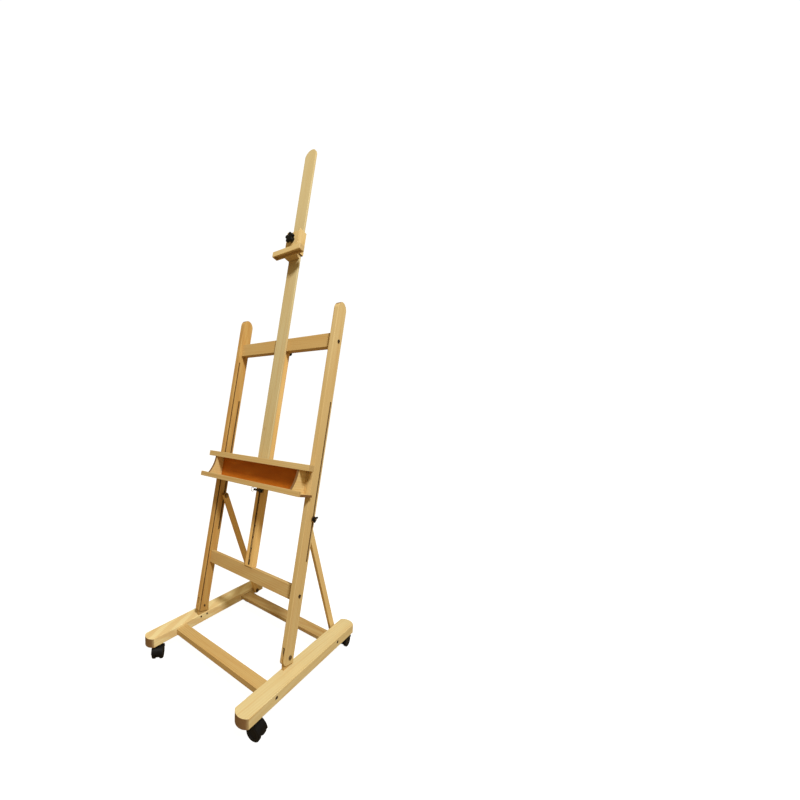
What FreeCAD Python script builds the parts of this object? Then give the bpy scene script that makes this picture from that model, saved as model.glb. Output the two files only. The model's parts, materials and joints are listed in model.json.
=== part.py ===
import FreeCAD, Part
import math
import os
import Sketcher

# Studio easel with an H-shaped frame, a sliding mast, a tray, folding rear struts and castors.
# Millimetres, +Z up, +X to the easel's right, the artist stands on the -Y side.
# The origin is on the floor at the centre of the base rails.
# The frame's parts are drawn upright and then leaned back: their X is the easel's X,
# their Y runs from front to back through the frame, and their Z runs up along it.

os.makedirs("parts", exist_ok=True)
doc = FreeCAD.newDocument("HFrameEasel")

SIZES = [
    ("lean", 12), ("pivot_y", -68.5), ("pivot_z", 138.3), ("pivot_depth", 32.7), ("fit_gap", 0.05),
    ("rail_length", 672), ("rail_width", 62), ("rail_height", 37.4), ("rail_bottom", 62),
    ("rail_centre_x", 271.8), ("rail_bow", 17.5), ("base_bolt_z", 83.6),
    ("front_bar_y", -213), ("front_bar_depth", 52), ("front_bar_top", 90.4), ("front_bar_height", 23.4),
    ("rear_bar_y", 162), ("rear_bar_depth", 62), ("rear_bar_top", 87.9), ("rear_bar_height", 16),
    ("base_bolt_front_y", -190), ("base_bolt_rear_y", 191),
    ("tongue_x", 249), ("tongue_thick", 9), ("tongue_front_y", -97), ("tongue_depth", 56), ("mortise_z", 69.4),
    ("tongue_screw_y", -86), ("tongue_screw_step", 33), ("tongue_screw_z", 90.5),
    ("castor_y", 279), ("castor_trail", 22), ("wheel_radius", 26), ("wheel_inner", 7.5), ("wheel_outer", 22),
    ("axle_radius", 3), ("hood_inner", 26.9), ("hood_outer", 28.7), ("hood_width", 45), ("castor_stem", 5.4),
    ("socket_thick", 1.8), ("socket_radius", 15),
    ("upright_inner_x", 239.85), ("upright_thick", 19.45), ("upright_depth", 57), ("upright_foot", 26),
    ("upright_top", 1318.6), ("upright_toe", 18), ("fork_x", 4.35), ("fork_width", 9.6), ("fork_top", 40),
    ("groove_y", 7), ("groove_width", 6), ("groove_top", 1117),
    ("slot_centre_y", 45), ("slot_width", 8), ("slot_bottom", 345), ("slot_top", 945),
    ("bolt_radius", 3), ("bolt_head_radius", 6.5), ("bolt_head_height", 2.6), ("pivot_bolt_radius", 4),
    ("top_bar_y", 15.4), ("top_bar_depth", 28.6), ("top_bar_z", 1148.8), ("top_bar_height", 53.2),
    ("top_bolt_y", 34), ("top_bolt_z", 1172.5),
    ("low_bar_y", 23), ("low_bar_depth", 20), ("low_bar_z", 198.7), ("low_bar_height", 53),
    ("low_bolt_y", 33), ("low_bolt_z", 222),
    ("post_y", 19.5), ("post_depth", 28.2), ("post_width", 42), ("tenon_half", 15), ("tenon_y", 27),
    ("tenon_depth", 12), ("tenon_low", 15), ("tenon_high", 12),
    ("rack_width", 10.2), ("rack_y", 21), ("rack_thick", 2.5), ("rack_bottom", 259), ("rack_top", 1146),
    ("rack_pitch", 47.5), ("rack_first", 279.75), ("rack_slot", 44), ("rack_slot_width", 6), ("rack_count", 18),
    ("rack_relief", 6), ("rack_screw_low", 269), ("rack_screw_high", 1139.5),
    ("mast_width", 56.8), ("mast_thick", 9.5), ("mast_y", 4.4), ("mast_bottom", 670), ("mast_top", 2018),
    ("rib_front", 11.9), ("rib_back", 14.9), ("rib_thick", 5.3), ("rib_height", 630), ("rib_gap", 0.4),
    ("clamp_screw_z", 1168), ("clamp_screw_radius", 4), ("mast_knob_radius", 25), ("mast_knob_y", 48.7),
    ("mast_knob_thick", 18), ("knob_boss_radius", 10.5),
    ("holder_half", 28.9), ("holder_front", -24), ("holder_back", 3.9), ("holder_bottom", 1558),
    ("block_height", 83), ("cheek_thick", 5), ("cheek_bottom", 1552), ("cheek_height", 96), ("cheek_back", 19),
    ("holder_plate_y", 14.5), ("hood_half", 72), ("hood_front", -54), ("hood_rear", -24), ("hood_z", 1536),
    ("hood_wall", 5), ("hood_recess", 11), ("holder_knob_z", 1607), ("holder_knob_radius", 21),
    ("holder_knob_thick", 13), ("holder_knob_gap", 12),
    ("tray_bottom", 584.5), ("tray_half", 270.7), ("floor_thick", 9.5), ("floor_front", -72), ("tray_back", -1),
    ("lip_thick", 11), ("lip_height", 19.5), ("end_inner", 222), ("end_thick", 10), ("end_top_front", -48),
    ("end_low_front", -75), ("end_hollow", 6), ("ledge_z", 677), ("ledge_height", 22.4), ("ledge_half", 273),
    ("ledge_front", -51), ("ledge_depth", 33), ("ledge_back_half", 258), ("panel_y", -7), ("panel_thick", 3.5),
    ("guide_inner", 205), ("guide_outer", 239.2), ("guide_back", 16), ("guide_tongue_x", 245.2),
    ("guide_tongue_y", 7.4), ("guide_tongue_width", 5.2),
    ("latch_x", 18), ("latch_y", 10), ("latch_bottom", 562), ("latch_height", 9), ("latch_thick", 4),
    ("latch_left", -23), ("latch_barrel", 4), ("latch_pin", 1.5), ("tooth_half", 3), ("tooth_z", 3.2),
    ("tooth_tip", 20), ("tab_end", -29), ("tab_z", 1.5), ("tab_height", 3), ("ring_x", -34), ("ring_radius", 8.5),
    ("ring_wire", 1), ("bracket_width", 8), ("bracket_sheet", 2), ("bracket_reach", 24),
    ("strut_x", 230.5), ("strut_thick", 13.5), ("strut_width", 27.5), ("strut_foot_y", 259.5), ("strut_foot_z", 85),
    ("strut_bolt_z", 505), ("strut_eye", 8.2), ("strut_bolt_radius", 3.5), ("strut_washer_radius", 12),
    ("strut_washer_thick", 1.6), ("strut_knob_radius", 13.5), ("strut_knob_thick", 10), ("foot_bolt_length", 40),
    ("edge", 1.2), ("fine_edge", 0.6),
]

sheet = doc.addObject("Spreadsheet::Sheet", "Sizes")
for row, (alias, number) in enumerate(SIZES, start=1):
    sheet.set(f"A{row}", alias)
    sheet.set(f"B{row}", str(number))
    sheet.setAlias(f"B{row}", alias)
doc.recompute()


class Size:
    """A number together with the sheet formula that gives it."""

    def __init__(self, value, text):
        self.value = value
        self.text = text

    def __add__(self, other):
        other = size(other)
        return Size(self.value + other.value, f"({self.text} + {other.text})")

    def __radd__(self, other):
        return size(other) + self

    def __sub__(self, other):
        other = size(other)
        return Size(self.value - other.value, f"({self.text} - {other.text})")

    def __rsub__(self, other):
        return size(other) - self

    def __mul__(self, other):
        other = size(other)
        return Size(self.value * other.value, f"({self.text} * {other.text})")

    def __rmul__(self, other):
        return size(other) * self

    def __truediv__(self, other):
        other = size(other)
        return Size(self.value / other.value, f"({self.text} / {other.text})")

    def __neg__(self):
        return Size(-self.value, f"(-1 * {self.text})")


def size(thing):
    """A Size from a Size, a sheet name or a plain number."""
    if isinstance(thing, Size):
        return thing
    if isinstance(thing, str):
        return Size(float(sheet.get(thing)), f"Sizes.{thing}")
    return Size(float(thing), repr(float(thing)))


def root(thing):
    return Size(math.sqrt(thing.value), f"sqrt({thing.text})")


def sine(angle):
    return Size(math.sin(math.radians(angle.value)), f"sin({angle.text})")


def cosine(angle):
    return Size(math.cos(math.radians(angle.value)), f"cos({angle.text})")


# Placements, each a formula.

def spot(x=0, y=0, z=0, axis="1;0;0", angle=0):
    x, y, z, angle = (size(part) for part in (x, y, z, angle))
    return f"placement(vector({x.text}; {y.text}; {z.text}); rotation(vector({axis}); {angle.text}))"


LEANED = spot(0, "pivot_y", "pivot_z", angle=-size("lean")) + " * " + spot(0, -size("pivot_depth"), 0)


def on_frame(x=0, y=0, z=0, axis="1;0;0", angle=0):
    return LEANED + " * " + spot(x, y, z, axis, angle)


def put(thing, formula):
    thing.setExpression("Placement", formula)
    return thing


# Sketches and features.

def start(label):
    body = doc.addObject("PartDesign::Body", label)
    body.AllowCompound = True
    return body


def sketch_at(body, plane, at=0):
    """A sketch on one of the body's own planes, moved along the plane's axis to the coordinate at."""
    sketch = body.newObject("Sketcher::SketchObject", body.Name + "_sketch")
    support = next(item for item in body.Origin.OriginFeatures if item.Role == plane + "_Plane")
    sketch.AttachmentSupport = [(support, "")]
    sketch.MapMode = "FlatFace"
    offset = -size(at) if plane == "XZ" else size(at)
    sketch.setExpression("AttachmentOffset.Base.z", offset.text)
    return sketch


def hold(sketch, kind, where, amount):
    index = sketch.addConstraint(Sketcher.Constraint(kind, *where, amount.value))
    sketch.setExpression(f"Constraints[{index}]", amount.text)


def hold_point(sketch, item, end, point):
    hold(sketch, "DistanceX", (-1, 1, item, end), size(point[0]))
    hold(sketch, "DistanceY", (-1, 1, item, end), size(point[1]))


def draw_outline(sketch, points, bows=None):
    """A closed outline drawn counter-clockwise; bows gives a side's rise, negative for a hollow side."""
    bows = bows or {}
    points = [(size(x), size(y)) for x, y in points]
    vectors = [FreeCAD.Vector(x.value, y.value, 0) for x, y in points]
    ends = []
    for side, begin in enumerate(vectors):
        finish = vectors[(side + 1) % len(vectors)]
        if side not in bows:
            item = sketch.addGeometry(Part.LineSegment(begin, finish), False)
            ends.append((item, 1, 2))
            continue
        rise = size(bows[side])
        chord = finish - begin
        crown = (begin + finish) * 0.5 + FreeCAD.Vector(chord.y, -chord.x, 0).normalize() * rise.value
        item = sketch.addGeometry(Part.ArcOfCircle(begin, crown, finish), False)
        forward = (sketch.getPoint(item, 1) - begin).Length < 1e-6
        ends.append((item, 1, 2) if forward else (item, 2, 1))
    for side, (item, begin, finish) in enumerate(ends):
        following = ends[(side + 1) % len(ends)]
        sketch.addConstraint(Sketcher.Constraint("Coincident", item, finish, following[0], following[1]))
    for (item, begin, finish), point in zip(ends, points):
        hold_point(sketch, item, begin, point)
    for side, rise in bows.items():
        hold_bow(sketch, ends[side][0], points[side], points[(side + 1) % len(points)], size(rise))


def hold_bow(sketch, item, begin, finish, rise):
    """Fixes an arc between two held ends by its centre, which lies on the chord's bisector."""
    run_x = finish[0] - begin[0]
    run_y = finish[1] - begin[1]
    span = run_x * run_x + run_y * run_y
    shift = (rise - (span / 8 + rise * rise / 2) / rise) / root(span)
    if abs(run_y.value) > abs(run_x.value):
        hold(sketch, "DistanceX", (-1, 1, item, 3), (begin[0] + finish[0]) / 2 + run_y * shift)
    else:
        hold(sketch, "DistanceY", (-1, 1, item, 3), (begin[1] + finish[1]) / 2 - run_x * shift)


def draw_box(sketch, x0, x1, y0, y1):
    draw_outline(sketch, [(x0, y0), (x1, y0), (x1, y1), (x0, y1)])


def draw_circle(sketch, x, y, radius):
    x, y, radius = size(x), size(y), size(radius)
    centre = FreeCAD.Vector(x.value, y.value, 0)
    item = sketch.addGeometry(Part.Circle(centre, FreeCAD.Vector(0, 0, 1), radius.value), False)
    hold(sketch, "Radius", (item,), radius)
    hold_point(sketch, item, 3, (x, y))


def pad(body, sketch, length, both=False, back=False):
    feature = body.newObject("PartDesign::Pad", body.Name + "_pad")
    feature.Profile = sketch
    feature.SideType = "Symmetric" if both else "One side"
    feature.Reversed = back
    feature.setExpression("Length", size(length).text)
    doc.recompute()
    return feature


def cut(body, sketch, depth=None):
    """Cuts to the given depth on each side of the sketch, or right through."""
    before = body.Shape.Volume
    feature = body.newObject("PartDesign::Pocket", body.Name + "_cut")
    feature.Profile = sketch
    feature.SideType = "Symmetric"
    if depth is None:
        feature.Type = "ThroughAll"
    else:
        feature.setExpression("Length", (size(depth) * 2).text)
    doc.recompute()
    if body.Shape.Volume >= before - 1e-3:
        raise ValueError(f"{body.Name}: a cut removed nothing")
    return feature


def soften(body, radius="edge"):
    """Rounds every edge of the body so far."""
    base = body.Tip
    feature = body.newObject("PartDesign::Fillet", body.Name + "_edges")
    feature.Base = (base, [])
    feature.UseAllEdges = True
    feature.setExpression("Radius", size(radius).text)
    doc.recompute()
    return feature


def drill(body, plane, points, radius, at=0, depth=None):
    sketch = sketch_at(body, plane, at)
    for x, y in points:
        draw_circle(sketch, x, y, radius)
    cut(body, sketch, depth)


def board(label, width, depth, height, formula, edge="edge"):
    """A plank centred on X, with its front face at Y 0 and its lower face at Z 0."""
    body = start(label)
    sketch = sketch_at(body, "XY")
    draw_box(sketch, -size(width) / 2, size(width) / 2, 0, depth)
    pad(body, sketch, height)
    soften(body, edge)
    put(body, formula)
    return body


def fastener(name, head_radius, head_height, shank_radius, shank_length, formula):
    """A headed pin: the shank runs along +Z from the underside of the head."""
    shank = doc.addObject("Part::Cylinder", name + "_shank")
    shank.setExpression("Radius", size(shank_radius).text)
    shank.setExpression("Height", size(shank_length).text)
    head = doc.addObject("Part::Cylinder", name + "_head")
    head.setExpression("Radius", size(head_radius).text)
    head.setExpression("Height", size(head_height).text)
    put(head, spot(0, 0, -size(head_height)))
    whole = doc.addObject("Part::MultiFuse", name)
    whole.Shapes = [shank, head]
    put(whole, formula)
    return whole


def group(label, members):
    whole = doc.addObject("Part::Compound", label)
    whole.Links = members
    return whole


def disc(name, radius, hole, thickness, formula):
    outer = doc.addObject("Part::Cylinder", name + "_outer")
    outer.setExpression("Radius", size(radius).text)
    outer.setExpression("Height", size(thickness).text)
    inner = doc.addObject("Part::Cylinder", name + "_hole")
    inner.setExpression("Radius", size(hole).text)
    inner.setExpression("Height", size(thickness).text)
    ring = doc.addObject("Part::Cut", name)
    ring.Base = outer
    ring.Tool = inner
    put(ring, formula)
    return ring


NODES = []
SIDES = (("left", -1), ("right", 1))
ACROSS = "0;1;0"


def keep(thing):
    NODES.append(thing)
    return thing


# Base: two rails, two crossbars, two foot tongues and their fasteners.

def build_rails():
    half_width = size("rail_width") / 2
    side_end = size("rail_length") / 2 - "rail_bow"
    for name, side in SIDES:
        rail = start("base_rail_" + name)
        sketch = sketch_at(rail, "XY")
        corners = [(-half_width, -side_end), (half_width, -side_end), (half_width, side_end),
                   (-half_width, side_end)]
        draw_outline(sketch, corners, {0: "rail_bow", 2: "rail_bow"})
        pad(rail, sketch, "rail_height")
        soften(rail)
        inner = -side * half_width
        outer = side * half_width
        tongue = side * (size("tongue_x") - "rail_centre_x")
        mortise = sketch_at(rail, "XY", "rail_height")
        draw_box(mortise, tongue - size("tongue_thick") / 2, tongue + size("tongue_thick") / 2,
                 "tongue_front_y", size("tongue_front_y") + "tongue_depth")
        cut(rail, mortise, size("rail_bottom") + "rail_height" - "mortise_z")
        bolt_z = size("base_bolt_z") - "rail_bottom"
        bolts = [("base_bolt_front_y", bolt_z), ("base_bolt_rear_y", bolt_z)]
        drill(rail, "YZ", bolts, size("bolt_radius") + "fit_gap", outer, size("rail_width") + 5)
        drill(rail, "YZ", bolts, size("bolt_head_radius") + 0.3, outer, size("bolt_head_height") + 1.2)
        screw_z = size("tongue_screw_z") - "rail_bottom"
        screws = [("tongue_screw_y", screw_z), (size("tongue_screw_y") + "tongue_screw_step", screw_z)]
        drill(rail, "YZ", screws, size(2) + "fit_gap", inner, 20)
        foot = [("strut_foot_y", size("strut_foot_z") - "rail_bottom")]
        drill(rail, "YZ", foot, size("pivot_bolt_radius") + "fit_gap", inner, 25)
        stems = [(0, "castor_y"), (0, -size("castor_y"))]
        drill(rail, "XY", stems, size("castor_stem") + "fit_gap", 0, 31)
        keep(put(rail, spot(side * size("rail_centre_x"), 0, "rail_bottom")))


def build_base_bars():
    inner_face = size("rail_centre_x") - size("rail_width") / 2
    for name in ("front", "rear"):
        bottom = size(name + "_bar_top") - (name + "_bar_height")
        label = f"base_{name}_crossbar"
        bar = board(label, inner_face * 2, name + "_bar_depth", name + "_bar_height",
                    spot(0, name + "_bar_y", bottom))
        bolt = [(size(f"base_bolt_{name}_y") - (name + "_bar_y"), size("base_bolt_z") - bottom)]
        for side in (-1, 1):
            drill(bar, "YZ", bolt, size("bolt_radius") + "fit_gap", side * inner_face, 45)
        keep(bar)


def build_tongues():
    half = size("tongue_depth") / 2
    centre_y = size("tongue_front_y") + half
    for name, side in SIDES:
        tongue = start("foot_tongue_" + name)
        sketch = sketch_at(tongue, "YZ")
        foot = size("mortise_z") - "pivot_z"
        draw_outline(sketch, [(-half, foot), (half, foot), (half, 0), (-half, 0)], {2: half})
        pad(tongue, sketch, "tongue_thick", both=True)
        pivot = [(size("pivot_y") - centre_y, 0)]
        drill(tongue, "YZ", pivot, size("pivot_bolt_radius") + "fit_gap")
        screw_z = size("tongue_screw_z") - "pivot_z"
        first = size("tongue_screw_y") - centre_y
        drill(tongue, "YZ", [(first, screw_z), (first + "tongue_screw_step", screw_z)], size(2) + "fit_gap")
        keep(put(tongue, spot(side * size("tongue_x"), centre_y, "pivot_z")))


def build_base_fasteners():
    inner_face = size("rail_centre_x") - size("rail_width") / 2
    outer_face = size("rail_centre_x") + size("rail_width") / 2
    bolts = []
    screws = []
    pins = []
    for name, side in SIDES:
        turn = -90 * side
        seat = side * (outer_face - 1.2 - "bolt_head_height")
        for place in ("front", "rear"):
            formula = spot(seat, f"base_bolt_{place}_y", "base_bolt_z", ACROSS, turn)
            bolts.append(fastener(f"base_bolt_{name}_{place}", "bolt_head_radius", "bolt_head_height",
                                  "bolt_radius", size("rail_width") + 38, formula))
        for step in (0, 1):
            y = size("tongue_screw_y") + step * size("tongue_screw_step")
            formula = spot(side * inner_face, y, "tongue_screw_z", ACROSS, -turn)
            screws.append(fastener(f"tongue_screw_{name}_{step}", 4, 1.6, 2, 19, formula))
        head = side * (size("strut_x") - size("strut_thick") / 2 - 0.4)
        formula = spot(head, "strut_foot_y", "strut_foot_z", ACROSS, -turn)
        pins.append(fastener(f"strut_foot_bolt_{name}", 9, 4, "pivot_bolt_radius", "foot_bolt_length", formula))
    keep(group("base_bolts", bolts))
    keep(group("foot_tongue_screws", screws))
    keep(group("strut_foot_bolts", pins))


# Castors: a socket plate on the rail, a hood that swivels, and a pair of wheels.

CASTORS = (("front_left", -1, -1, -42), ("front_right", 1, -1, 8),
           ("rear_left", -1, 1, -88), ("rear_right", 1, 1, 97))


def build_castors():
    plates = []
    for name, side, end, turn in CASTORS:
        x = side * size("rail_centre_x")
        y = end * size("castor_y")
        plate_z = size("rail_bottom") - "socket_thick"
        plates.append(disc("castor_plate_" + name, "socket_radius", size("castor_stem") + "fit_gap",
                           "socket_thick", spot(x, y, plate_z)))
        stem = spot(x, y, 0, "0;0;1", turn)
        keep(put(castor_hood("castor_hood_" + name), stem))
        wheels = castor_wheels("castor_wheels_" + name)
        keep(put(wheels, stem + " * " + spot("castor_trail", 0, "wheel_radius")))
    keep(group("castor_plates", plates))


def castor_hood(label):
    hood = start(label)
    trail = size("castor_trail")
    axle_z = size("wheel_radius")
    shell = sketch_at(hood, "XZ")
    draw_circle(shell, trail, axle_z, "hood_outer")
    draw_circle(shell, trail, axle_z, "hood_inner")
    pad(hood, shell, "hood_width", both=True)
    opening = sketch_at(hood, "XZ")
    reach = size("hood_outer") + 2
    draw_outline(opening, [(trail - reach, axle_z - reach), (trail + reach, axle_z - reach),
                           (trail + reach, axle_z + 4), (trail - reach, axle_z + 3)])
    cut(hood, opening)
    web = sketch_at(hood, "XZ")
    draw_outline(web, [(-5, axle_z - 3), (trail - 12, axle_z - 19), (trail + 10, axle_z - 20),
                       (trail + 21, axle_z - 6), (trail + 16, axle_z + 20), (trail, axle_z + 27.6),
                       (trail - 15, axle_z + 22.5), (-5, axle_z + 18)])
    pad(hood, web, 11, both=True)
    boss = sketch_at(hood, "XY", axle_z)
    draw_circle(boss, 0, 0, 7)
    pad(hood, boss, size("rail_bottom") - "socket_thick" - 0.4 - axle_z)
    stem = sketch_at(hood, "XY", axle_z + 20)
    draw_circle(stem, 0, 0, "castor_stem")
    pad(hood, stem, size("rail_bottom") - axle_z + 10)
    axle = sketch_at(hood, "XZ")
    draw_circle(axle, trail, axle_z, "axle_radius")
    pad(hood, axle, 40, both=True)
    return hood


def castor_wheels(label):
    wheels = start(label)
    sketch = sketch_at(wheels, "XY")
    tread = size("wheel_radius")
    bore = size("axle_radius") + "fit_gap"
    for side in (-1, 1):
        inner = side * size("wheel_inner")
        outer = side * size("wheel_outer")
        points = [(bore, inner), (tread - 2, inner), (tread, inner + side * 2), (tread, outer - side * 3),
                  (tread - 3, outer), (15, outer), (13, outer - side * 2), (bore, outer - side * 2)]
        draw_outline(sketch, points if side > 0 else points[::-1])
    feature = wheels.newObject("PartDesign::Revolution", label + "_turned")
    feature.Profile = sketch
    axis = next(item for item in wheels.Origin.OriginFeatures if item.Role == "Y_Axis")
    feature.ReferenceAxis = (axis, [""])
    feature.Angle = 360
    doc.recompute()
    return wheels


# H frame: uprights, crossbars, the fixed post with its rack, and their bolts.

def build_uprights():
    for name, side in SIDES:
        upright = start("upright_" + name)
        depth = size("upright_depth")
        toe = size("upright_toe")
        foot = -size("upright_foot")
        shoulder = size("upright_top") - depth / 2
        sketch = sketch_at(upright, "YZ")
        points = [(depth, foot), (depth, shoulder), (0, shoulder), (0, foot + toe), (toe, foot)]
        toe_rise = toe * (1 - math.sqrt(0.5))
        draw_outline(sketch, points, {1: depth / 2, 3: toe_rise})
        pad(upright, sketch, "upright_thick", back=side < 0)
        soften(upright)
        fork = sketch_at(upright, "XZ")
        edges = (side * size("fork_x"), side * (size("fork_x") + "fork_width"))
        draw_box(fork, edges[side < 0], edges[side > 0], foot - 5, "fork_top")
        cut(upright, fork)
        groove = sketch_at(upright, "YZ")
        draw_box(groove, "groove_y", size("groove_y") + "groove_width", foot - 5, "groove_top")
        cut(upright, groove, 6)
        front = size("slot_centre_y") - size("slot_width") / 2
        back = front + "slot_width"
        low = size("slot_bottom") + size("slot_width") / 2
        high = size("slot_top") - size("slot_width") / 2
        slot = sketch_at(upright, "YZ")
        draw_outline(slot, [(back, low), (back, high), (front, high), (front, low)],
                     {1: size("slot_width") / 2, 3: size("slot_width") / 2})
        cut(upright, slot)
        bolts = [("top_bolt_y", "top_bolt_z"), ("low_bolt_y", "low_bolt_z")]
        drill(upright, "YZ", bolts, size("bolt_radius") + "fit_gap")
        drill(upright, "YZ", [("pivot_depth", 0)], size("pivot_bolt_radius") + "fit_gap")
        keep(put(upright, on_frame(side * size("upright_inner_x"))))


def build_frame_bars():
    half = size("upright_inner_x")
    for name in ("top", "low"):
        label = {"top": "top_crossbar", "low": "lower_crossbar"}[name]
        bar = board(label, half * 2, name + "_bar_depth", name + "_bar_height",
                    on_frame(0, name + "_bar_y", name + "_bar_z"))
        bolt = [(size(name + "_bolt_y") - (name + "_bar_y"), size(name + "_bolt_z") - (name + "_bar_z"))]
        for side in (-1, 1):
            drill(bar, "YZ", bolt, size("bolt_radius") + "fit_gap", side * half, 45)
        mortise = sketch_at(bar, "XY", 0 if name == "top" else "low_bar_height")
        front = size("tenon_y") - (name + "_bar_y")
        draw_box(mortise, -size("tenon_half"), "tenon_half", front, front + "tenon_depth")
        cut(bar, mortise, "tenon_high" if name == "top" else "tenon_low")
        if name == "top":
            house_guide_rib(bar)
        keep(bar)


def house_guide_rib(bar):
    """The dovetail housing for the mast's guide rib, and the hole for the clamping screw."""
    slope = (size("rib_back") - "rib_front") / "rib_thick"
    mouth = size("rib_front") + slope * (size("top_bar_y") - "mast_y" - "mast_thick") + "rib_gap"
    depth = size("mast_y") + "mast_thick" + "rib_thick" + 0.3 - "top_bar_y"
    floor_half = mouth + slope * depth
    lead_half = mouth - slope
    housing = sketch_at(bar, "XY")
    draw_outline(housing, [(-lead_half, -1), (lead_half, -1), (floor_half, depth), (-floor_half, depth)])
    cut(bar, housing)
    screw = [(0, size("clamp_screw_z") - "top_bar_z")]
    drill(bar, "XZ", screw, size("clamp_screw_radius") + "fit_gap")


def build_post():
    height = size("top_bar_z") - "low_bar_z" - "low_bar_height"
    bottom = size("low_bar_z") + "low_bar_height"
    post = board("fixed_post", "post_width", "post_depth", height, on_frame(0, "post_y", bottom))
    front = size("tenon_y") - "post_y"
    for at, length, back in ((0, "tenon_low", True), (height, "tenon_high", False)):
        tenon = sketch_at(post, "XY", at)
        draw_box(tenon, -size("tenon_half"), "tenon_half", front, front + "tenon_depth")
        pad(post, tenon, length, back=back)
    seat = sketch_at(post, "XZ")
    low = size("rack_bottom") - bottom
    high = size("rack_top") - bottom
    seat_half = size("rack_width") / 2
    draw_box(seat, -seat_half, seat_half, low, high)
    cut(post, seat, size("rack_y") + "rack_thick" - "post_y")
    relief = sketch_at(post, "XZ")
    relief_half = size("rack_slot_width") / 2
    rack_end = size("rack_first") + size("rack_count") * size("rack_pitch") - bottom
    draw_box(relief, -relief_half, relief_half, size("rack_first") - bottom, rack_end)
    cut(post, relief, size("rack_y") + "rack_thick" - "post_y" + "rack_relief")
    keep(post)


def build_rack():
    rack = start("rack_strip")
    sketch = sketch_at(rack, "XY")
    half = size("rack_width") / 2
    draw_box(sketch, -half, half, 0, "rack_thick")
    pad(rack, sketch, size("rack_top") - "rack_bottom")
    slot = sketch_at(rack, "XZ")
    slot_half = size("rack_slot_width") / 2
    low = size("rack_first") - "rack_bottom" + slot_half
    high = low + "rack_slot" - "rack_slot_width"
    draw_outline(slot, [(slot_half, low), (slot_half, high), (-slot_half, high), (-slot_half, low)],
                 {1: slot_half, 3: slot_half})
    feature = cut(rack, slot)
    row = rack.newObject("PartDesign::LinearPattern", "rack_strip_row")
    row.Originals = [feature]
    row.Direction = (next(item for item in rack.Origin.OriginFeatures if item.Role == "Z_Axis"), [""])
    row.setExpression("Length", (size("rack_pitch") * (size("rack_count") - 1)).text)
    row.setExpression("Occurrences", size("rack_count").text)
    rack.Tip = row
    doc.recompute()
    holes = [(0, size(f"rack_screw_{end}") - "rack_bottom") for end in ("low", "high")]
    drill(rack, "XZ", holes, 1.55)
    keep(put(rack, on_frame(0, "rack_y", "rack_bottom")))
    post = doc.getObject("fixed_post")
    bottom = size("low_bar_z") + "low_bar_height"
    drill(post, "XZ", [(0, size(f"rack_screw_{end}") - bottom) for end in ("low", "high")], 1.55, 0, 14)
    screws = []
    for end in ("low", "high"):
        formula = on_frame(0, "rack_y", f"rack_screw_{end}", "1;0;0", -90)
        screws.append(fastener("rack_screw_" + end, 3, 0.9, 1.5, 12, formula))
    keep(group("rack_screws", screws))


def build_frame_bolts():
    outer = size("upright_inner_x") + "upright_thick"
    bolts = []
    pins = []
    for name, side in SIDES:
        for bar in ("top", "low"):
            formula = on_frame(side * outer, bar + "_bolt_y", bar + "_bolt_z", ACROSS, -90 * side)
            bolts.append(fastener(f"frame_bolt_{name}_{bar}", "bolt_head_radius", "bolt_head_height",
                                  "bolt_radius", 58, formula))
        formula = on_frame(side * outer, "pivot_depth", 0, ACROSS, -90 * side)
        pins.append(fastener("foot_pivot_bolt_" + name, 8, 3.2, "pivot_bolt_radius",
                             size("upright_thick") + 4, formula))
    keep(group("frame_bolts", bolts))
    keep(group("foot_pivot_bolts", pins))


# Sliding mast, its clamp, and the canvas holder that slides on it.

def build_mast():
    mast = start("sliding_mast")
    half = size("mast_width") / 2
    shoulder = size("mast_top") - "mast_bottom" - half
    sketch = sketch_at(mast, "XZ", "mast_thick")
    draw_outline(sketch, [(-half, 0), (half, 0), (half, shoulder), (-half, shoulder)], {2: half})
    pad(mast, sketch, "mast_thick")
    soften(mast)
    keep(put(mast, on_frame(0, "mast_y", "mast_bottom")))
    rib = start("mast_guide_rib")
    profile = sketch_at(rib, "XY")
    draw_outline(profile, [(-size("rib_front"), 0), ("rib_front", 0), ("rib_back", "rib_thick"),
                           (-size("rib_back"), "rib_thick")])
    pad(rib, profile, "rib_height")
    keep(put(rib, on_frame(0, size("mast_y") + "mast_thick", "mast_bottom")))


def star_knob(label, radius, thickness, boss, bore):
    """A five-lobed knob, its back face at Y 0 and its boss reaching to Y -boss."""
    knob = start(label)
    lobe = size(radius) * 0.34
    sketch = sketch_at(knob, "XZ")
    draw_circle(sketch, 0, 0, size(radius) * 0.72)
    pad(knob, sketch, thickness, back=True)
    arm = sketch_at(knob, "XZ")
    draw_circle(arm, 0, size(radius) - lobe, lobe)
    feature = pad(knob, arm, thickness, back=True)
    around = knob.newObject("PartDesign::PolarPattern", label + "_lobes")
    around.Originals = [feature]
    around.Axis = (next(item for item in knob.Origin.OriginFeatures if item.Role == "Y_Axis"), [""])
    around.Angle = 360
    around.Occurrences = 5
    knob.Tip = around
    doc.recompute()
    soften(knob, 2.5)
    collar = sketch_at(knob, "XZ")
    draw_circle(collar, 0, 0, "knob_boss_radius")
    pad(knob, collar, boss)
    drill(knob, "XZ", [(0, 0)], size("clamp_screw_radius") + "fit_gap", 0, bore)
    return knob


def build_mast_clamp():
    back = size("top_bar_y") + "top_bar_depth"
    boss = size("mast_knob_y") - back - 0.5
    knob = star_knob("mast_clamp_knob", "mast_knob_radius", "mast_knob_thick", boss, 12)
    keep(put(knob, on_frame(0, "mast_knob_y", "clamp_screw_z")))
    tip = size("mast_y") + "mast_thick" + "rib_thick" + 0.5
    screw = doc.addObject("Part::Cylinder", "mast_clamp_screw")
    screw.setExpression("Radius", size("clamp_screw_radius").text)
    screw.setExpression("Height", (size("mast_knob_y") + 12 - tip).text)
    keep(put(screw, on_frame(0, tip, "clamp_screw_z", "1;0;0", -90)))


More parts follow.
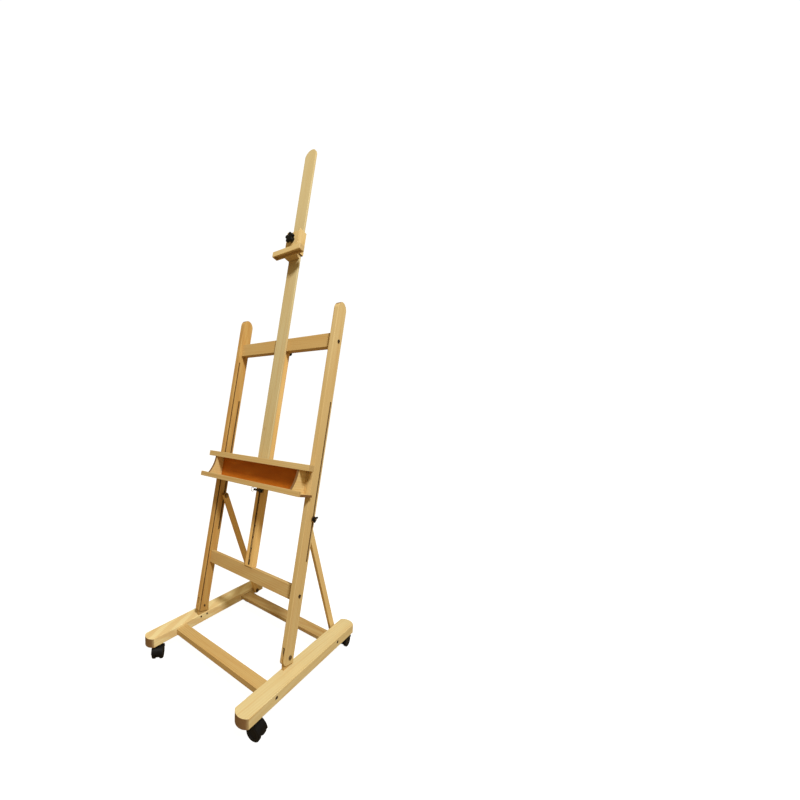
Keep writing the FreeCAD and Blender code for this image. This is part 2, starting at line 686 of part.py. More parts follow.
def build_holder():
    depth = size("holder_back") - "holder_front"
    width = size("holder_half") * 2
    block = board("holder_block", width, depth, "block_height", on_frame(0, "holder_front", "holder_bottom"))
    screw = [(0, size("holder_knob_z") - "holder_bottom")]
    drill(block, "XZ", screw, size("clamp_screw_radius") + "fit_gap")
    keep(block)
    for name, side in SIDES:
        x = side * (size("holder_half") + size("cheek_thick") / 2)
        keep(board("holder_cheek_" + name, "cheek_thick", size("cheek_back") - "holder_front", "cheek_height",
                   on_frame(x, "holder_front", "cheek_bottom"), "fine_edge"))
    plate_depth = size("cheek_back") - "holder_plate_y"
    keep(board("holder_back_plate", width, plate_depth, "cheek_height",
               on_frame(0, "holder_plate_y", "cheek_bottom")))
    build_holder_hood()
    build_holder_knob()


def build_holder_hood():
    hood = start("holder_hood")
    half = size("hood_half")
    neck = size("holder_half")
    sketch = sketch_at(hood, "XY")
    draw_outline(sketch, [(-half, "hood_front"), (half, "hood_front"), (half, "hood_rear"),
                          (neck, "hood_rear"), (neck, "holder_back"), (-neck, "holder_back"),
                          (-neck, "hood_rear"), (-half, "hood_rear")])
    pad(hood, sketch, size("holder_bottom") - "hood_z")
    soften(hood)
    recess = sketch_at(hood, "XY")
    wall = size("hood_wall")
    draw_box(recess, wall - half, half - wall, size("hood_front") + wall, size("hood_rear") - wall)
    cut(hood, recess, "hood_recess")
    keep(put(hood, on_frame(0, 0, "hood_z")))


def build_holder_knob():
    reach = size("holder_knob_gap") - 0.5
    knob = star_knob("holder_knob", "holder_knob_radius", "holder_knob_thick", reach, reach)
    formula = on_frame(0, size("holder_front") - "holder_knob_gap", "holder_knob_z", "0;0;1", 180)
    keep(put(knob, formula))
    head = size("holder_front") - "holder_knob_gap" - 10
    screw = doc.addObject("Part::Cylinder", "holder_screw")
    screw.setExpression("Radius", size("clamp_screw_radius").text)
    screw.setExpression("Height", (size("holder_back") - head).text)
    keep(put(screw, on_frame(0, head, "holder_knob_z", "1;0;0", -90)))


# Tray: ledge, back rail, floor, lip, ends, back panel and the two guides, with its latch.

def build_tray():
    ledge_back = size("ledge_front") + "ledge_depth"
    keep(board("tray_ledge", size("ledge_half") * 2, "ledge_depth", "ledge_height",
               on_frame(0, "ledge_front", "ledge_z")))
    keep(board("tray_back_rail", size("ledge_back_half") * 2, size("tray_back") - ledge_back,
               "ledge_height", on_frame(0, ledge_back, "ledge_z")))
    keep(board("tray_floor", size("tray_half") * 2, size("tray_back") - "floor_front", "floor_thick",
               on_frame(0, "floor_front", "tray_bottom")))
    keep(board("tray_lip", size("tray_half") * 2, "lip_thick", "lip_height",
               on_frame(0, size("floor_front") - "lip_thick", "tray_bottom")))
    floor_top = size("tray_bottom") + "floor_thick"
    keep(board("tray_back_panel", size("end_inner") * 2, "panel_thick", size("ledge_z") - floor_top,
               on_frame(0, "panel_y", floor_top), "fine_edge"))
    for name, side in SIDES:
        build_tray_end(name, side, floor_top)
        build_tray_guide(name, side)


def build_tray_end(name, side, floor_top):
    end = start("tray_end_" + name)
    sketch = sketch_at(end, "YZ")
    top = size("ledge_z") - floor_top
    lip_top = size("tray_bottom") + "lip_height" - floor_top
    points = [("tray_back", 0), ("tray_back", top), ("end_top_front", top), ("end_low_front", lip_top),
              ("floor_front", lip_top), ("floor_front", 0)]
    draw_outline(sketch, points, {2: -size("end_hollow")})
    pad(end, sketch, "end_thick", back=side < 0)
    keep(put(end, on_frame(side * size("end_inner"), 0, floor_top)))


def build_tray_guide(name, side):
    width = size("guide_outer") - "guide_inner"
    height = size("ledge_z") + "ledge_height" - "tray_bottom"
    x = side * (size("guide_inner") + width / 2)
    guide = board("tray_guide_" + name, width, size("guide_back") - "tray_back", height,
                  on_frame(x, "tray_back", "tray_bottom"))
    tongue = sketch_at(guide, "XY")
    front = size("guide_tongue_y") - "tray_back"
    edges = (side * (width / 2 - 3), side * (width / 2 + "guide_tongue_x" - "guide_outer"))
    draw_box(tongue, edges[side < 0], edges[side > 0], front, front + "guide_tongue_width")
    pad(guide, tongue, height)
    keep(guide)


def build_latch():
    top = size("latch_bottom") + "latch_height"
    sheet_thick = size("bracket_sheet")
    wall_back = size(-3)
    wall_front = wall_back - sheet_thick
    reach = size("latch_y") + "latch_barrel"
    upper = top + 0.3
    lower = size("latch_bottom") - 0.3
    bracket = start("latch_bracket")
    sketch = sketch_at(bracket, "YZ", -size("bracket_width") / 2)
    points = [(wall_front, lower - sheet_thick), (reach, lower - sheet_thick), (reach, lower),
              (wall_back, lower), (wall_back, upper), (reach, upper), (reach, upper + sheet_thick),
              (wall_back, upper + sheet_thick), (wall_back, "tray_bottom"),
              (wall_front - "bracket_reach", "tray_bottom"),
              (wall_front - "bracket_reach", size("tray_bottom") - sheet_thick),
              (wall_front, size("tray_bottom") - sheet_thick)]
    draw_outline(sketch, points)
    pad(bracket, sketch, "bracket_width")
    pin = sketch_at(bracket, "XY", lower - 1)
    draw_circle(pin, 0, "latch_y", "latch_pin")
    pad(bracket, pin, upper - lower + 2)
    keep(put(bracket, on_frame("latch_x")))
    build_latch_plate()


def build_latch_plate():
    plate = start("latch_plate")
    half = size("latch_thick") / 2
    left = size("latch_left") - "latch_x"
    bar = sketch_at(plate, "XY")
    draw_box(bar, left, 0, -half, half)
    pad(plate, bar, "latch_height")
    barrel = sketch_at(plate, "XY")
    draw_circle(barrel, 0, 0, "latch_barrel")
    pad(plate, barrel, "latch_height")
    tooth = sketch_at(plate, "XY", "tooth_z")
    draw_box(tooth, -size("tooth_half") - "latch_x", size("tooth_half") - "latch_x", 0,
             size("tooth_tip") - "latch_y")
    pad(plate, tooth, size("latch_height") - "tooth_z")
    tab = sketch_at(plate, "XY", "tab_z")
    draw_box(tab, size("tab_end") - "latch_x", left + 2, -half, half)
    pad(plate, tab, "tab_height")
    drill(plate, "XY", [(0, 0)], size("latch_pin") + "fit_gap")
    wire_x = size("ring_x") + "ring_radius" - "latch_x"
    drill(plate, "XY", [(wire_x, 0)], size("ring_wire") + 0.3)
    keep(put(plate, on_frame("latch_x", "latch_y", "latch_bottom")))
    ring = doc.addObject("Part::Torus", "latch_ring")
    ring.setExpression("Radius1", size("ring_radius").text)
    ring.setExpression("Radius2", size("ring_wire").text)
    centre_z = size("latch_bottom") + "tab_z" + size("tab_height") / 2
    keep(put(ring, on_frame("ring_x", "latch_y", centre_z, "1;0;0", 90)))


# Rear struts: hinged to the rails and bolted through the slots in the uprights.

def build_struts():
    over = size("strut_bolt_z")
    behind = size("slot_centre_y") - "pivot_depth"
    lean = size("lean")
    back = size("strut_foot_y") - "pivot_y" - over * sine(lean) - behind * cosine(lean)
    up = size("pivot_z") - "strut_foot_z" + over * cosine(lean) - behind * sine(lean)
    length = root(back * back + up * up)
    angle = Size(math.degrees(math.atan(back.value / up.value)), f"atan({back.text} / {up.text})")
    half = size("strut_width") / 2
    for name, side in SIDES:
        strut = start("strut_" + name)
        sketch = sketch_at(strut, "YZ")
        draw_outline(sketch, [(half, 0), (half, length), (-half, length), (-half, 0)], {1: half, 3: half})
        pad(strut, sketch, "strut_thick", both=True)
        soften(strut)
        drill(strut, "YZ", [(0, 0)], size("pivot_bolt_radius") + "fit_gap")
        drill(strut, "YZ", [(0, length)], "strut_eye")
        keep(put(strut, spot(side * size("strut_x"), "strut_foot_y", "strut_foot_z", angle=angle)))
        build_strut_fixing(name, side)


def build_strut_fixing(name, side):
    inner = size("strut_x") - size("strut_thick") / 2
    outer = size("upright_inner_x") + "upright_thick"
    washer = size("strut_washer_thick")
    gap = size(0.3)
    turn = 90 * side

    def across(x):
        return on_frame(side * x, "slot_centre_y", "strut_bolt_z", ACROSS, turn)

    knob_face = outer + gap + washer + 0.2
    bolt = fastener("strut_bolt_" + name, 7, 4.5, "strut_bolt_radius",
                    knob_face + "strut_knob_thick" + 2 - inner + gap + washer, across(inner - gap - washer))
    keep(bolt)
    hole = size("strut_bolt_radius") + "fit_gap"
    spacer = size("strut_x") + size("strut_thick") / 2 + gap
    washers = [disc(f"strut_washer_{name}_{place}", "strut_washer_radius", hole, washer, across(x))
               for place, x in (("inner", inner - gap - washer), ("middle", spacer), ("outer", outer + gap))]
    keep(group("strut_washers_" + name, washers))
    turned = across(knob_face) + " * " + spot(0, 0, 0, "0;0;1", 140)
    keep(put(wing_nut("strut_knob_" + name), turned))


def wing_nut(label):
    """A winged nut for the strut bolt, its back face at Z 0 and its wings along X."""
    knob = start(label)
    radius = size("strut_knob_radius")
    high = size("strut_knob_thick")
    sketch = sketch_at(knob, "XY")
    draw_circle(sketch, 0, 0, 7.5)
    pad(knob, sketch, high)
    soften(knob, "fine_edge")
    wings = sketch_at(knob, "XZ")
    for side in (-1, 1):
        points = [(side * 5, 2), (side * 9, 3), (side * radius, high + 1), (side * (radius - 1), high + 4),
                  (side * (radius - 6), high + 4), (side * 5, high - 1)]
        draw_outline(wings, points if side > 0 else points[::-1])
    pad(knob, wings, 4, both=True)
    drill(knob, "XY", [(0, 0)], size("strut_bolt_radius") + "fit_gap")
    return knob


build_rails()
build_base_bars()
build_tongues()
build_base_fasteners()
build_castors()
build_uprights()
build_frame_bars()
build_post()
build_rack()
build_frame_bolts()
build_mast()
build_mast_clamp()
build_holder()
build_tray()
build_latch()
build_struts()
doc.recompute()

for item in doc.Objects:
    if "Invalid" in item.State or "Error" in item.State:
        raise ValueError(f"{item.Name} did not compute: {item.State}")
for node in NODES:
    if node.Shape.isNull() or not node.Shape.isValid():
        raise ValueError(f"{node.Label} has no valid shape")
    node.Shape.exportStep(f"parts/{node.Label}.step")
    box = node.Shape.BoundBox
    print(f"{node.Label}: {len(node.Shape.Solids)} solid(s), "
          f"x {box.XMin:.1f} to {box.XMax:.1f}, y {box.YMin:.1f} to {box.YMax:.1f}, "
          f"z {box.ZMin:.1f} to {box.ZMax:.1f}")
print(f"{len(NODES)} nodes")
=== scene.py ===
import json
import math
import random

import bmesh
import bpy
from mathutils import Euler, Matrix, Vector


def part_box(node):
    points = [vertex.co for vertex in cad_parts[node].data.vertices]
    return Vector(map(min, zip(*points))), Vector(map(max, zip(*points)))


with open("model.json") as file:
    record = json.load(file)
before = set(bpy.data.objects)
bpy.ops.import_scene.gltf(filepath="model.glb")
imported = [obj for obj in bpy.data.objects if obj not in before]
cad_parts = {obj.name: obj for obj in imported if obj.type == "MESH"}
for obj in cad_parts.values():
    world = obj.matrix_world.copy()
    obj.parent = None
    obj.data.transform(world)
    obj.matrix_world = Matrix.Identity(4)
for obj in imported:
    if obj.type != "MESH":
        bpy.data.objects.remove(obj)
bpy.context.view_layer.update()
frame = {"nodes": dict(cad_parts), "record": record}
record = frame["record"]
joints = {joint["name"]: joint for joint in record["behaviour"]["joints"]}

UP = Vector((0, 0, 1))
FRAME_AXIS = Vector(joints["tray_slide"]["axis"])
OUT_AXIS = Vector(joints["mast_clamp_turn"]["axis"])


def centre(node):
    low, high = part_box(node)
    return (Vector(low) + Vector(high)) / 2


def strut_axis():
    """The struts lie in a plane of constant X, from the hinge on the rail up to the sliding bolt."""
    foot = Vector(joints["strut_swing_right"]["pos_m"])
    bolt = centre("strut_bolt_right")
    return Vector((0, bolt.y - foot.y, bolt.z - foot.z)).normalized()


# Node-building helpers.

class Shader:
    """A material's node tree, with short calls for the nodes that the finishes use."""

    def __init__(self, name):
        self.material = bpy.data.materials.new(name)
        self.material.use_nodes = True
        self.tree = self.material.node_tree
        self.surface = next(n for n in self.tree.nodes if n.type == "BSDF_PRINCIPLED")
        self.coords = self.tree.nodes.new("ShaderNodeTexCoord")

    def node(self, kind, inputs=None, **settings):
        made = self.tree.nodes.new(kind)
        for key, value in settings.items():
            setattr(made, key, value)
        for key, value in (inputs or {}).items():
            if isinstance(value, bpy.types.NodeSocket):
                self.tree.links.new(value, made.inputs[key])
            else:
                made.inputs[key].default_value = value
        return made

    def mapped(self, vector, scale, location=(0, 0, 0), rotation=(0, 0, 0)):
        values = {"Vector": vector, "Scale": scale, "Location": location, "Rotation": rotation}
        return self.node("ShaderNodeMapping", values).outputs["Vector"]

    def noise(self, vector, scale=1.0, detail=2.0, roughness=0.5):
        values = {"Vector": vector, "Scale": scale, "Detail": detail, "Roughness": roughness}
        return self.node("ShaderNodeTexNoise", values)

    def ramp(self, factor, stops):
        made = self.node("ShaderNodeValToRGB", {"Fac": factor})
        elements = made.color_ramp.elements
        while len(elements) < len(stops):
            elements.new(0.5)
        for element, (place, colour) in zip(elements, stops):
            element.position = place
            element.color = (*colour, 1)
        return made.outputs["Color"]

    def spread(self, value, low, high, to_low, to_high, smooth=False):
        values = {"Value": value, "From Min": low, "From Max": high, "To Min": to_low, "To Max": to_high}
        kind = "SMOOTHSTEP" if smooth else "LINEAR"
        return self.node("ShaderNodeMapRange", values, interpolation_type=kind).outputs["Result"]

    def math(self, operation, first, second=0.0):
        return self.node("ShaderNodeMath", {0: first, 1: second}, operation=operation).outputs["Value"]

    def combine(self, operation, first, second):
        """A sum, difference or multiple of vectors."""
        values = {0: first, "Scale" if operation == "SCALE" else 1: second}
        return self.node("ShaderNodeVectorMath", values, operation=operation).outputs["Vector"]

    def along(self, vector, axis):
        """How far a vector reaches along an axis."""
        values = {0: vector, 1: tuple(axis)}
        return self.node("ShaderNodeVectorMath", values, operation="DOT_PRODUCT").outputs["Value"]

    def mix(self, factor, first, second):
        made = self.node("ShaderNodeMix", data_type="RGBA")
        for key, value in ((0, factor), (6, first), (7, second)):
            if isinstance(value, bpy.types.NodeSocket):
                self.tree.links.new(value, made.inputs[key])
            elif key == 0:
                made.inputs[key].default_value = value
            else:
                made.inputs[key].default_value = (*value, 1)
        return made.outputs[2]

    def bump(self, height, strength, distance):
        values = {"Height": height, "Strength": strength, "Distance": distance}
        return self.node("ShaderNodeBump", values).outputs["Normal"]

    def wire(self, **links):
        for name, socket in links.items():
            self.tree.links.new(socket, self.surface.inputs[name.replace("_", " ")])

    def fix(self, **values):
        for name, value in values.items():
            self.surface.inputs[name.replace("_", " ")].default_value = value


# Finishes.

FIRST_SEED = 40
# How dark the painted shade in the grooves and slots is, from 0 to 1.
HOLLOW_SHADE = 0.85
RING_WANDER = 0.028
PLAIN_ENDS = 0.92

def painted_hollow_shade(s, hollows):
    """Paints shade into the grooves and slots that run along the frame, each given by its width and its depth
    in X.
    """
    place = s.coords.outputs["Object"]
    out = s.along(place, OUT_AXIS)
    depth = s.math("ABSOLUTE", s.node("ShaderNodeSeparateXYZ", {"Vector": place}).outputs["X"])
    total = None
    for low, high, near, far in hollows:
        after = s.math("MULTIPLY", s.math("GREATER_THAN", out, low), s.math("LESS_THAN", out, high))
        inside = s.math("MULTIPLY", s.math("GREATER_THAN", depth, near), s.math("LESS_THAN", depth, far))
        both = s.math("MULTIPLY", after, inside)
        total = both if total is None else s.math("MAXIMUM", total, both)
    return s.math("MULTIPLY", total, HOLLOW_SHADE)


def board_space(s, node, grain, dice):
    """Coordinates whose Z axis is the tree's pith, which lies beside the board and nearly along its grain."""
    turn = grain.rotation_difference(UP).to_matrix()
    tilt = Euler((dice.uniform(-0.05, 0.05), dice.uniform(-0.05, 0.05), dice.uniform(0, 6.2)))
    turned = tilt.to_matrix() @ turn
    pith = Vector((dice.uniform(0.03, 0.07), dice.uniform(0.02, 0.06), dice.uniform(-3, 3)))
    shift = pith - turned @ centre(node)
    return s.mapped(s.coords.outputs["Object"], (1, 1, 1), shift, turned.to_euler())


def bent_grain(s, board):
    """The board's coordinates pushed sideways a little, so that the growth rings wander."""
    wander = s.noise(s.mapped(board, (7, 7, 1.1)), 1.0, 3.0)
    centred = s.combine("SUBTRACT", wander.outputs["Color"], (0.5, 0.5, 0.5))
    return s.combine("ADD", board, s.combine("SCALE", centred, RING_WANDER))


def growth_rings(s, bent, dice):
    """Yearly rings, strong in some years and faint in others."""
    waves = s.node("ShaderNodeTexWave", {"Vector": bent, "Scale": dice.uniform(36, 52)},
                   wave_type="RINGS", rings_direction="Z", wave_profile="SIN").outputs["Fac"]
    years = s.noise(s.mapped(bent, (60, 60, 0.8)), 1.0, 2.0).outputs["Fac"]
    return s.math("MULTIPLY", waves, s.spread(years, 0.3, 0.7, 0.25, 1.0))


def with_flame(s, colour, bent, figure, dark):
    """Wide flame stripes that cross the board at a slant."""
    slant = s.mapped(bent, (1, 1, 0.62), (0, 0, 0), (0, 0.5, 0.6))
    values = {"Vector": slant, "Scale": 9.0, "Distortion": 3.0, "Detail": 2.0}
    flame = s.node("ShaderNodeTexWave", values, wave_type="BANDS", bands_direction="X").outputs["Fac"]
    return s.mix(s.spread(flame, 0.25, 0.8, 0.0, figure, True), colour, dark)


def with_knots(s, colour, board):
    """A few small knots, each with a darker core."""
    cells = s.node("ShaderNodeTexVoronoi", {"Vector": s.mapped(board, (6.5, 6.5, 2.6)), "Scale": 1.0})
    distance = cells.outputs["Distance"]
    knot = s.spread(distance, 0.02, 0.045, 1.0, 0.0, True)
    core = s.spread(distance, 0.008, 0.028, 1.0, 0.0, True)
    colour = s.mix(s.math("MULTIPLY", knot, 0.6), colour, (0.36, 0.19, 0.07))
    return s.mix(s.math("MULTIPLY", core, 0.7), colour, (0.15, 0.07, 0.025))


def with_end_grain(s, colour, grain, fibres, rings, strength):
    """Darkens the faces that look along the grain, where the varnish soaks in."""
    facing = s.math("ABSOLUTE", s.along(s.coords.outputs["Normal"], grain))
    ends = s.spread(facing, 0.3, 0.8, 0.0, strength, True)
    dark = s.mix(s.spread(fibres, 0.3, 0.7, 0.0, 0.6), (0.185, 0.083, 0.028), (0.12, 0.052, 0.018))
    ringed = s.mix(s.math("MULTIPLY", rings, 0.5), dark, (0.10, 0.045, 0.018))
    return s.mix(ends, colour, ringed)


def pine(node, grain, seed, tone, warmth, figure, hollows, end_grain):
    """Varnished pine, with growth rings, fibres, streaks, knots and darker end grain, and painted shade in
    the hollows it is given.
    """
    dice = random.Random(seed)
    s = Shader("pine_" + node)
    board = board_space(s, node, grain, dice)
    bent = bent_grain(s, board)
    rings = growth_rings(s, bent, dice)
    fibres = s.noise(s.mapped(board, (900, 900, 14)), 1.0, 3.0).outputs["Fac"]
    streaks = s.noise(s.mapped(board, (110, 110, 1.6)), 1.0, 2.0).outputs["Fac"]
    patches = s.noise(s.mapped(board, (9, 9, 2.4)), 1.0, 2.0).outputs["Fac"]

    def tinted(red, green, blue):
        return tone * red, tone * green * (1 - 0.22 * warmth), tone * blue * (1 - 0.5 * warmth)

    early = tinted(0.71, 0.595, 0.32)
    mid = tinted(0.67, 0.53, 0.255)
    late = tinted(0.60, 0.435, 0.175)
    colour = s.ramp(rings, [(0.0, early), (0.6, mid), (0.95, late), (1.0, mid)])
    if figure:
        colour = with_flame(s, colour, bent, figure, tinted(0.52, 0.29, 0.10))
    colour = s.mix(s.spread(patches, 0.35, 0.7, 0.0, 0.5), colour, tinted(0.66, 0.475, 0.20))
    colour = s.mix(s.spread(streaks, 0.5, 0.75, 0.0, 0.35, True), colour, tinted(0.60, 0.38, 0.15))
    colour = s.mix(s.spread(fibres, 0.35, 0.75, 0.0, 0.22), colour, tinted(0.52, 0.31, 0.12))
    colour = with_knots(s, colour, board)
    colour = with_end_grain(s, colour, grain, fibres, rings, end_grain)
    # Painted shade: the insides of the grooves and slots are darkened towards deep brown, as the shade that
    # falls in them.
    if hollows:
        colour = s.mix(painted_hollow_shade(s, hollows), colour, (0.13, 0.055, 0.018))

    worn = s.noise(s.mapped(board, (60, 60, 9)), 1.0, 4.0, 0.65).outputs["Fac"]
    rough = s.spread(worn, 0.3, 0.75, 0.30, 0.52)
    relief = s.math("ADD", s.math("MULTIPLY", fibres, 0.7), s.math("MULTIPLY", rings, 0.4))
    s.wire(Base_Color=colour, Roughness=rough, Normal=s.bump(relief, 0.18, 0.0005))
    s.fix(Coat_Weight=0.08, Coat_Roughness=0.2, Specular_IOR_Level=0.22)
    return s.material


def hardboard():
    """Tempered hardboard: smooth and reddish brown, with a mottled fibre felt."""
    s = Shader("hardboard_panel")
    board = s.coords.outputs["Object"]
    felt = s.noise(s.mapped(board, (900, 900, 900)), 1.0, 2.0).outputs["Fac"]
    cloud = s.noise(s.mapped(board, (10, 30, 30)), 1.0, 3.0).outputs["Fac"]
    scuff = s.noise(s.mapped(board, (14, 120, 120)), 1.0, 4.0, 0.7).outputs["Fac"]
    dark, middle, light = (0.46, 0.125, 0.008), (0.55, 0.165, 0.011), (0.64, 0.21, 0.019)
    colour = s.ramp(cloud, [(0.25, dark), (0.55, middle), (0.8, light)])
    colour = s.mix(s.spread(felt, 0.4, 0.7, 0.0, 0.4), colour, (0.20, 0.05, 0.006))
    colour = s.mix(s.spread(scuff, 0.62, 0.8, 0.0, 0.35, True), colour, (0.52, 0.22, 0.05))
    rough = s.spread(scuff, 0.3, 0.8, 0.42, 0.62)
    s.wire(Base_Color=colour, Roughness=rough, Normal=s.bump(felt, 0.12, 0.0003))
    s.fix(Specular_IOR_Level=0.15)
    return s.material


def metal(name, dark, light, rough, stretch=(500, 500, 60), metallic=1.0):
    """Steel with drawn or turned marks, cloudy plating and a few bright scratches."""
    s = Shader(name)
    place = s.coords.outputs["Object"]
    brushed = s.noise(s.mapped(place, stretch), 1.0, 3.0).outputs["Fac"]
    cloud = s.noise(s.mapped(place, (45, 45, 45)), 1.0, 3.0).outputs["Fac"]
    scratch = s.noise(s.mapped(place, (240, 1500, 240)), 1.0, 4.0, 0.7).outputs["Fac"]
    colour = s.mix(s.spread(cloud, 0.3, 0.7, 0.0, 1.0), dark, light)
    deep = tuple(c * 0.55 for c in dark)
    bright = tuple(min(1, c * 1.8) for c in light)
    colour = s.mix(s.spread(brushed, 0.35, 0.75, 0.0, 0.3), colour, deep)
    colour = s.mix(s.spread(scratch, 0.66, 0.78, 0.0, 0.5, True), colour, bright)
    s.wire(Base_Color=colour, Roughness=s.spread(brushed, 0.3, 0.7, rough, rough + 0.18),
           Normal=s.bump(brushed, 0.15, 0.0002))
    s.fix(Metallic=metallic)
    return s.material


def moulded(name, dark, light, rough):
    """Moulded black plastic: a fine spark texture, dusty patches and rubbed marks."""
    s = Shader(name)
    place = s.coords.outputs["Object"]
    spark = s.noise(s.mapped(place, (1600, 1600, 1600)), 1.0, 2.0).outputs["Fac"]
    cloud = s.noise(s.mapped(place, (55, 55, 55)), 1.0, 4.0, 0.6).outputs["Fac"]
    colour = s.mix(s.spread(cloud, 0.35, 0.75, 0.0, 1.0), dark, light)
    colour = s.mix(s.spread(spark, 0.55, 0.8, 0.0, 0.5), colour, tuple(min(1, c * 2.2) for c in light))
    s.wire(Base_Color=colour, Roughness=s.spread(cloud, 0.3, 0.75, rough, rough + 0.2),
           Normal=s.bump(spark, 0.22, 0.0002))
    s.fix(Specular_IOR_Level=0.16)
    return s.material


def dress(node, material):
    mesh = frame["nodes"][node].data
    mesh.materials.clear()
    mesh.materials.append(material)


X = Vector((1, 0, 0))
Y = Vector((0, 1, 0))
# Each board's grain direction, tone (lighter above 1) and warmth (redder above 0).
BOARDS = [
    ("base_rail_left", Y, 1.24, -0.2),
    ("base_rail_right", Y, 1.03, -0.15),
    ("base_front_crossbar", X, 0.87, 0.65),
    ("base_rear_crossbar", X, 0.72, 0.65),
    ("foot_tongue_left", UP, 0.8, 0.7),
    ("foot_tongue_right", UP, 0.85, 0.8),
    ("upright_left", FRAME_AXIS, 0.84, 1.0),
    ("upright_right", FRAME_AXIS, 0.92, 0.3),
    ("top_crossbar", X, 0.83, 0.7),
    ("lower_crossbar", X, 0.84, 0.5),
    # The fixed post is toned lighter as painted light, to offset the tray's shadow on it.
    ("fixed_post", FRAME_AXIS, 1.15, 0.75),
    ("sliding_mast", FRAME_AXIS, 0.87, -0.1),
    ("mast_guide_rib", FRAME_AXIS, 0.9, 0.5),
    ("holder_block", FRAME_AXIS, 0.98, 0.3),
    ("holder_cheek_left", FRAME_AXIS, 0.97, 0.3),
    ("holder_cheek_right", FRAME_AXIS, 1.0, 0.25),
    ("holder_back_plate", FRAME_AXIS, 0.96, 0.3),
    ("holder_hood", X, 0.97, 0.35),
    ("tray_ledge", X, 0.92, 0.4),
    ("tray_back_rail", X, 0.9, 0.5),
    ("tray_floor", X, 0.9, 0.5),
    ("tray_lip", X, 0.88, 0.5),
    ("tray_end_left", OUT_AXIS, 1.0, 0.4),
    ("tray_end_right", OUT_AXIS, 1.0, 0.3),
    ("tray_guide_left", FRAME_AXIS, 0.85, 0.7),
    ("tray_guide_right", FRAME_AXIS, 0.85, 0.7),
    # The left strut is toned lighter than the right as painted light, to offset the shade on it.
    ("strut_left", strut_axis(), 1.3, 0.7),
    ("strut_right", strut_axis(), 1.1, 0.3),
]
# How strongly a board's flame figure shows.
FIGURED = {
    "base_rail_left": 0.42,
    "base_rear_crossbar": 0.35,
    "upright_left": 0.3,
    "lower_crossbar": 0.15,
}
# Boards whose sawn ends stay nearly as pale as their faces.
PALE_ENDS = {"holder_hood": 0.25, "tray_ledge": 0.25, "tray_lip": 0.25}


def upright_hollows(node):
    """The tray's guide groove in the inner face, and the slot for the strut's bolt, right through, as the
    places where shade is painted.
    """
    low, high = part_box(node)
    near, far = sorted((abs(low[0]), abs(high[0])))
    bolt = centre(node.replace("upright", "strut_bolt")).dot(OUT_AXIS)
    guide = centre(node.replace("upright", "tray_guide")).dot(OUT_AXIS)
    groove = (guide - 0.0006, guide + 0.0056, near + 0.0004, far)
    slot = (bolt - 0.0041, bolt + 0.0041, near, far)
    return [groove, slot]


for number, (node, grain, tone, warmth) in enumerate(BOARDS):
    hollows = upright_hollows(node) if node.startswith("upright") else []
    figure = FIGURED.get(node, 0.0)
    end_grain = PALE_ENDS.get(node, PLAIN_ENDS)
    dress(node, pine(node, grain, FIRST_SEED + number, tone, warmth, figure, hollows, end_grain))

dress("tray_back_panel", hardboard())
dark_steel = metal("steel_blackened", (0.085, 0.06, 0.042), (0.16, 0.12, 0.09), 0.42)
old_brass = metal("brass_aged", (0.36, 0.22, 0.085), (0.52, 0.36, 0.16), 0.40)
dull_steel = metal("steel_dull", (0.14, 0.095, 0.06), (0.24, 0.18, 0.12), 0.42)
zinc_steel = metal("steel_zinc", (0.42, 0.42, 0.41), (0.62, 0.62, 0.60), 0.28)
rack_steel = metal("steel_rack", (0.05, 0.035, 0.025), (0.17, 0.13, 0.10), 0.45)
black_steel = metal("steel_black_coat", (0.012, 0.012, 0.013), (0.022, 0.022, 0.023), 0.35, metallic=0.0)
black_plastic = moulded("plastic_black", (0.0022, 0.0022, 0.0025), (0.0055, 0.0055, 0.006), 0.40)
castor_tread = moulded("castor_nylon", (0.0025, 0.0025, 0.003), (0.008, 0.0078, 0.0076), 0.46)

for node in ("base_bolts", "foot_tongue_screws", "strut_foot_bolts", "frame_bolts",
             "rack_screws", "castor_plates"):
    dress(node, dark_steel)
dress("foot_pivot_bolts", dull_steel)
for node in ("strut_bolt_left", "strut_bolt_right", "strut_washers_left", "strut_washers_right"):
    dress(node, old_brass)
for node in ("latch_ring", "mast_clamp_screw", "holder_screw"):
    dress(node, zinc_steel)
dress("rack_strip", rack_steel)
for node in ("latch_plate", "latch_bracket"):
    dress(node, black_steel)
for node in ("mast_clamp_knob", "holder_knob", "strut_knob_left", "strut_knob_right"):
    dress(node, black_plastic)
for corner in ("front_left", "front_right", "rear_left", "rear_right"):
    dress("castor_hood_" + corner, black_plastic)
    dress("castor_wheels_" + corner, castor_tread)


# Stage, light and camera.

def build_floor():
    """A white studio floor. It looks evenly lit, and throws less light back up than it shows."""
    mesh = bpy.data.meshes.new("floor")
    bm = bmesh.new()
    bmesh.ops.create_grid(bm, x_segments=1, y_segments=1, size=60)
    bm.to_mesh(mesh)
    bm.free()
    floor = bpy.data.objects.new("floor", mesh)
    bpy.context.collection.objects.link(floor)
    s = Shader("floor_paper")
    tint = s.noise(s.mapped(s.coords.outputs["Object"], (3, 3, 3)), 1.0, 2.0).outputs["Fac"]
    s.wire(Base_Color=s.mix(tint, (0.34, 0.25, 0.14), (0.38, 0.28, 0.16)))
    s.fix(Roughness=0.95, Specular_IOR_Level=0.1)
    paper = s.node("ShaderNodeBsdfDiffuse", {"Color": (0.26, 0.26, 0.26, 1)})
    glow = s.node("ShaderNodeEmission", {"Color": (1, 1, 1, 1), "Strength": 0.96})
    both = s.node("ShaderNodeAddShader", {0: glow.outputs[0], 1: paper.outputs[0]})
    ray = s.node("ShaderNodeLightPath")
    shown = s.node("ShaderNodeMixShader", {0: ray.outputs["Is Camera Ray"], 1: s.surface.outputs[0],
                                           2: both.outputs[0]})
    out = next(n for n in s.tree.nodes if n.type == "OUTPUT_MATERIAL")
    s.tree.links.new(shown.outputs[0], out.inputs["Surface"])
    mesh.materials.append(s.material)


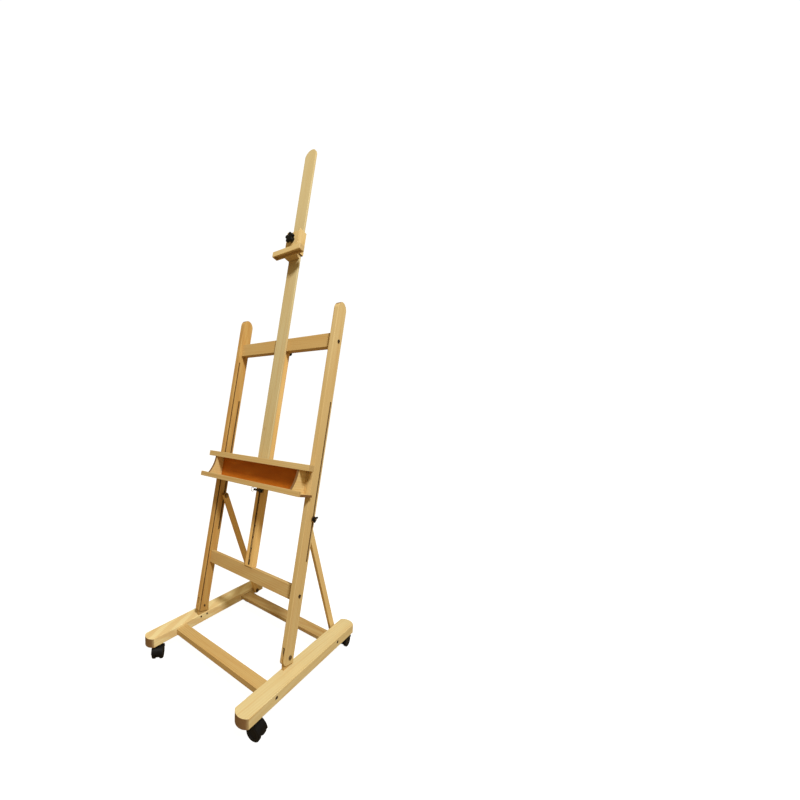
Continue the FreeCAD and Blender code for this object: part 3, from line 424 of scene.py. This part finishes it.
def build_light(name, place, aim, size, power, colour):
    lamp = bpy.data.lights.new(name, "AREA")
    lamp.shape = "DISK"
    lamp.size = size
    lamp.energy = power
    lamp.color = colour
    made = bpy.data.objects.new(name, lamp)
    made.location = place
    made.rotation_euler = (Vector(aim) - Vector(place)).to_track_quat("-Z", "Y").to_euler()
    bpy.context.collection.objects.link(made)


def build_world():
    """A white surround: full white where it is seen, softer as a light."""
    world = bpy.data.worlds.new("studio")
    world.use_nodes = True
    tree = world.node_tree
    soft = next(n for n in tree.nodes if n.type == "BACKGROUND")
    soft.inputs["Color"].default_value = (1, 0.79, 0.44, 1)
    soft.inputs["Strength"].default_value = 0.41
    seen = tree.nodes.new("ShaderNodeBackground")
    seen.inputs["Color"].default_value = (1, 1, 1, 1)
    seen.inputs["Strength"].default_value = 1.05
    ray = tree.nodes.new("ShaderNodeLightPath")
    mix = tree.nodes.new("ShaderNodeMixShader")
    tree.links.new(ray.outputs["Is Camera Ray"], mix.inputs[0])
    tree.links.new(soft.outputs[0], mix.inputs[1])
    tree.links.new(seen.outputs[0], mix.inputs[2])
    out = next(n for n in tree.nodes if n.type == "OUTPUT_WORLD")
    tree.links.new(mix.outputs[0], out.inputs["Surface"])
    bpy.context.scene.world = world
    bpy.context.scene.view_settings.view_transform = "Standard"


def build_camera():
    """A wide lens at chest height, off the easel's right front corner, looking slightly down."""
    yaw, pitch, roll = 0.7193, 0.12568, 0.01826
    camera = bpy.data.cameras.new("camera")
    camera.sensor_width = 36
    camera.lens = 15.953
    camera.shift_x = 0.1567
    camera.shift_y = 0.0632
    camera.clip_start = 0.02
    made = bpy.data.objects.new("camera", camera)
    turn = (Matrix.Rotation(yaw, 4, "Z") @ Matrix.Rotation(math.pi / 2 - pitch, 4, "X")
            @ Matrix.Rotation(roll, 4, "Z"))
    made.matrix_world = Matrix.Translation((0.9848, -1.0018, 1.0420)) @ turn
    bpy.context.collection.objects.link(made)
    bpy.context.scene.camera = made


build_floor()
build_world()
build_light("key", (2.75, -1.45, 4.6), (0, 0, 0.8), 0.9, 262, (0.98, 0.99, 1.0))
build_camera()
